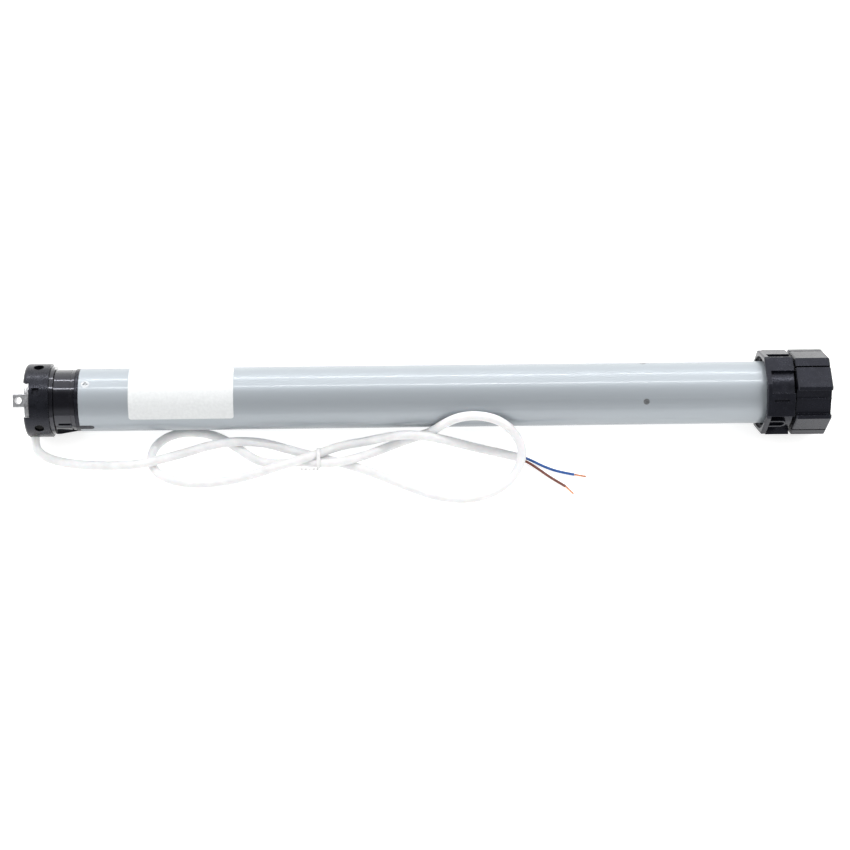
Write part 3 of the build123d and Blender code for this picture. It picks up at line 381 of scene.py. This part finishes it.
def makeTip(name, start, end):
    start, end = millimetres((start, end))
    run = end - start
    tip = runTree(name, strandTree, {
        "Strands": strands["count"], "Bundle Radius": strands["bundleRadius"] * mm,
        "Strand Radius": strands["strandRadius"] * mm, "Length": run.length,
        "Turns": strands["turnsPerLength"], "Material": materials["copper"]})
    tip.data.transform(Matrix.Translation(start) @ run.to_track_quat("Z", "Y").to_matrix().to_4x4())
    return tip


tips = {colour: makeTip(f"{colour}_tip", wires[colour][-1], wires[f"{colour}Tip"])
        for colour in ("blue", "brown")}
print("stranded tips made")

# twist tie
tie = {
    "station": 205.0,
    "strands": ((-37, -22.5), (-43.5, -19), (-37.5, -15.9)),   # across and height of the three runs
    "gap": 0.35,
    "width": 2.6,
    "thickness": 0.5,
    "bandSteps": 40,
    "tailFrom": Vector((0, 1, 0.4)),    # the tail starts where the band is least along this
    "tailWidth": 1.9,
    "tailLength": 14.0,
    "tailTwists": 2.5,
    "tailSteps": 36,
    "tailOffset": 0.6,
    "tailBow": 0.8,
    "tailRise": 1.5,
    "tailRiseTurn": 2.2,                # radians of the rise's wave from end to end
}
edgeShare = 1 / 5                       # of a strip's thickness, for its rounded edges


def hullOutline(centres, radius, steps):
    middle = sum((Vector(c) for c in centres), Vector((0, 0))) / len(centres)
    outline = []
    for step in range(steps):
        angle = math.tau * step / steps
        direction = Vector((math.cos(angle), math.sin(angle)))
        reach = max((Vector(c) - middle).dot(direction) for c in centres) + radius
        outline.append((direction, reach))
    points = []
    for (first, a), (second, b) in zip(outline, outline[1:] + outline[:1]):
        span = first.x * second.y - first.y * second.x
        points.append(middle + Vector(((a * second.y - b * first.y) / span,
                                       (b * first.x - a * second.x) / span)))
    return points


def makeStrip(name, line, sideways, width, thickness, closed, material):
    mesh = bpy.data.meshes.new(name)
    verts, faces = [], []
    count = len(line)
    for index, point in enumerate(line):
        across = sideways[index].normalized()
        if closed or index < count - 1:
            following = line[(index + 1) % count] - point
        else:
            following = point - line[index - 1]
        outward = across.cross(following.normalized())
        for side, level in ((-0.5, -0.5), (0.5, -0.5), (0.5, 0.5), (-0.5, 0.5)):
            verts.append((point + across * side * width + outward * level * thickness) * mm)
    for index in range(count if closed else count - 1):
        near, far = 4 * index, 4 * ((index + 1) % count)
        for corner in range(4):
            step = (corner + 1) % 4
            faces.append((near + corner, near + step, far + step, far + corner))
    if not closed:
        last = 4 * (count - 1)
        faces += [(3, 2, 1, 0), (last, last + 1, last + 2, last + 3)]
    mesh.from_pydata(verts, [], faces)
    mesh.materials.append(material)
    shape = bmesh.new()
    shape.from_mesh(mesh)
    bmesh.ops.recalc_face_normals(shape, faces=shape.faces)
    shape.to_mesh(mesh)
    shape.free()
    mesh.polygons.foreach_set("use_smooth", [True] * len(mesh.polygons))
    piece = linkObject(name, mesh)
    bevel = piece.modifiers.new("Bevel", "BEVEL")
    bevel.width = thickness * edgeShare * mm
    bevel.segments = 2
    return piece


def makeTie(t):
    outline = hullOutline(t["strands"], cable["diameter"] / 2 + t["gap"] + t["thickness"] / 2,
                          t["bandSteps"])
    loop = [Vector((t["station"], point.x, point.y)) for point in outline]
    band = makeStrip("tie_band", loop, [Vector((1, 0, 0))] * len(loop), t["width"], t["thickness"],
                     True, materials["tiePlastic"])
    start = min(loop, key=t["tailFrom"].dot)
    line, sideways = [], []
    for step in range(t["tailSteps"] + 1):
        share = step / t["tailSteps"]
        line.append(start + Vector((-t["tailLength"] * share,
                                    -t["tailBow"] * math.sin(math.pi * share) - t["tailOffset"],
                                    t["tailRise"] * math.sin(t["tailRiseTurn"] * share))))
        angle = math.tau * t["tailTwists"] * share
        sideways.append(Vector((0, math.cos(angle), math.sin(angle))))
    tail = makeStrip("tie_tail", line, sideways, t["tailWidth"], t["thickness"],
                     False, materials["tiePlastic"])
    return [band, tail]


tiePieces = makeTie(tie)
print("twist tie made")

# every piece rides on its body, and the imported parts that it replaces are hidden
cordPiece.data.materials.append(materials["cableJacket"])
for colour in ("blue", "brown"):
    wirePieces[colour].data.materials.append(materials[f"{colour}Insulation"])
for piece in [cordPiece, *wirePieces.values(), *tips.values(), *tiePieces]:
    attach(piece, "motor")
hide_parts("cable")
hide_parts("twist_tie")
for colour in ("blue", "brown"):
    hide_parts(f"wire_{colour}")

# floor under the wheel's flat and the rim of the head
floor = {
    "height": -26.13,
    "slope": -3.0 / 528,        # the head's rim and the wheel's flat lie at two heights
    "reach": 6000.0,
    "colour": (0.6, 0.6, 0.59),
    "grain": 3,
    "grainDetail": 2,
    "tint": 0.012,
    "rough": 0.75,
    "glow": 0.72,
}


def makeFloor(f):
    mesh = bpy.data.meshes.new("floor")
    reach = f["reach"]
    verts = [(x * mm, y * mm, (f["height"] + f["slope"] * x) * mm)
             for x, y in ((-reach, -reach), (reach, -reach), (reach, reach), (-reach, reach))]
    mesh.from_pydata(verts, [], [(0, 1, 2, 3)])
    material = bpy.data.materials.new("paleFloor")
    material.use_nodes = True
    material.cycles.emission_sampling = "NONE"
    tree = material.node_tree
    place = tree.nodes.new("ShaderNodeTexCoord").outputs["Object"]
    patch = addRange(tree, addNoise(tree, place, f["grain"], f["grainDetail"]), 0, 1)
    pale = tuple(c - f["tint"] for c in f["colour"])
    shader = tree.nodes["Principled BSDF"]
    shader.inputs["Roughness"].default_value = f["rough"]
    shader.inputs["Emission Color"].default_value = (1, 1, 1, 1)
    shader.inputs["Emission Strength"].default_value = f["glow"]
    tree.links.new(addMix(tree, patch, pale, f["colour"]), shader.inputs["Base Color"])
    mesh.materials.append(material)
    linkObject("floor", mesh)


makeFloor(floor)

# sky: pale, brighter towards the back like a room with a window there, and dark round the camera
sky = {
    "room": 0.68,
    "window": 1.5,
    "windowAt": 190.0,          # degrees from the front horizon, over the top
    "windowBlur": 0.35,
    "shadeAngles": (18.0, 48.0),    # degrees from the camera where the dark part ends
    "shadeDepth": 0.75,
}


def addFade(tree, around, elevation, span, levels):
    angle = math.radians(elevation)
    facing = tree.nodes.new("ShaderNodeVectorMath")
    facing.operation = "DOT_PRODUCT"
    facing.inputs[1].default_value = (0, -math.cos(angle), math.sin(angle))
    tree.links.new(around, facing.inputs[0])
    fade = tree.nodes.new("ShaderNodeMapRange")
    fade.interpolation_type = "SMOOTHSTEP"
    for socket, level in zip(("From Min", "From Max", "To Min", "To Max"), (*span, *levels)):
        fade.inputs[socket].default_value = level
    tree.links.new(facing.outputs["Value"], fade.inputs["Value"])
    return fade.outputs["Result"]


def makeSky(k):
    world = bpy.data.worlds.new("studio")
    world.use_nodes = True
    tree = world.node_tree
    around = tree.nodes.new("ShaderNodeTexCoord").outputs["Generated"]
    window = addFade(tree, around, k["windowAt"], (-k["windowBlur"], k["windowBlur"]),
                     (k["room"], k["window"]))
    inner, outer = (math.cos(math.radians(angle)) for angle in k["shadeAngles"])
    shade = addFade(tree, around, camera["elevation"], (outer, inner), (1, 1 - k["shadeDepth"]))
    strength = tree.nodes.new("ShaderNodeMath")
    strength.operation = "MULTIPLY"
    tree.links.new(window, strength.inputs[0])
    tree.links.new(shade, strength.inputs[1])
    background = tree.nodes["Background"]
    background.inputs["Color"].default_value = (1, 1, 1, 1)
    tree.links.new(strength.outputs[0], background.inputs["Strength"])
    bpy.context.scene.world = world


makeSky(sky)

# lamps: two long tubes that draw lines along the motor, and a box on each side
middle = (283.0, 0.0, 0.0)
tube = {"distance": 1500, "width": 55, "length": 2600, "power": 9}
box = {"distance": 1900, "width": 1400, "length": 1400, "power": 10}
lamps = {       # elevation from the front horizon, and degrees to the side
    "backTube": (tube, 138, 0),
    "topTube": (tube, 102, 0),
    "leftBox": (box, 70, -45),
    "rightBox": (box, 70, 45),
}


def makeLamp(name, form, elevation, aside):
    angle, side = math.radians(elevation), math.radians(aside)
    across = Vector((math.cos(side), 0, -math.sin(side)))
    away = Vector((math.sin(side), -math.cos(angle) * math.cos(side),
                   math.sin(angle) * math.cos(side))).normalized()
    across = (across - away * across.dot(away)).normalized()
    data = bpy.data.lights.new(name, "AREA")
    data.shape = "RECTANGLE"
    data.size = form["length"] * mm
    data.size_y = form["width"] * mm
    data.energy = form["power"]
    lamp = linkObject(name, data)
    lamp.matrix_world = Matrix.Translation((Vector(middle) + away * form["distance"]) * mm) @ Matrix(
        (across, away.cross(across), away)).transposed().to_4x4()


for name, (form, elevation, aside) in lamps.items():
    makeLamp(name, form, elevation, aside)
bpy.context.scene.view_settings.view_transform = "Standard"
print("floor, sky and lamps set")
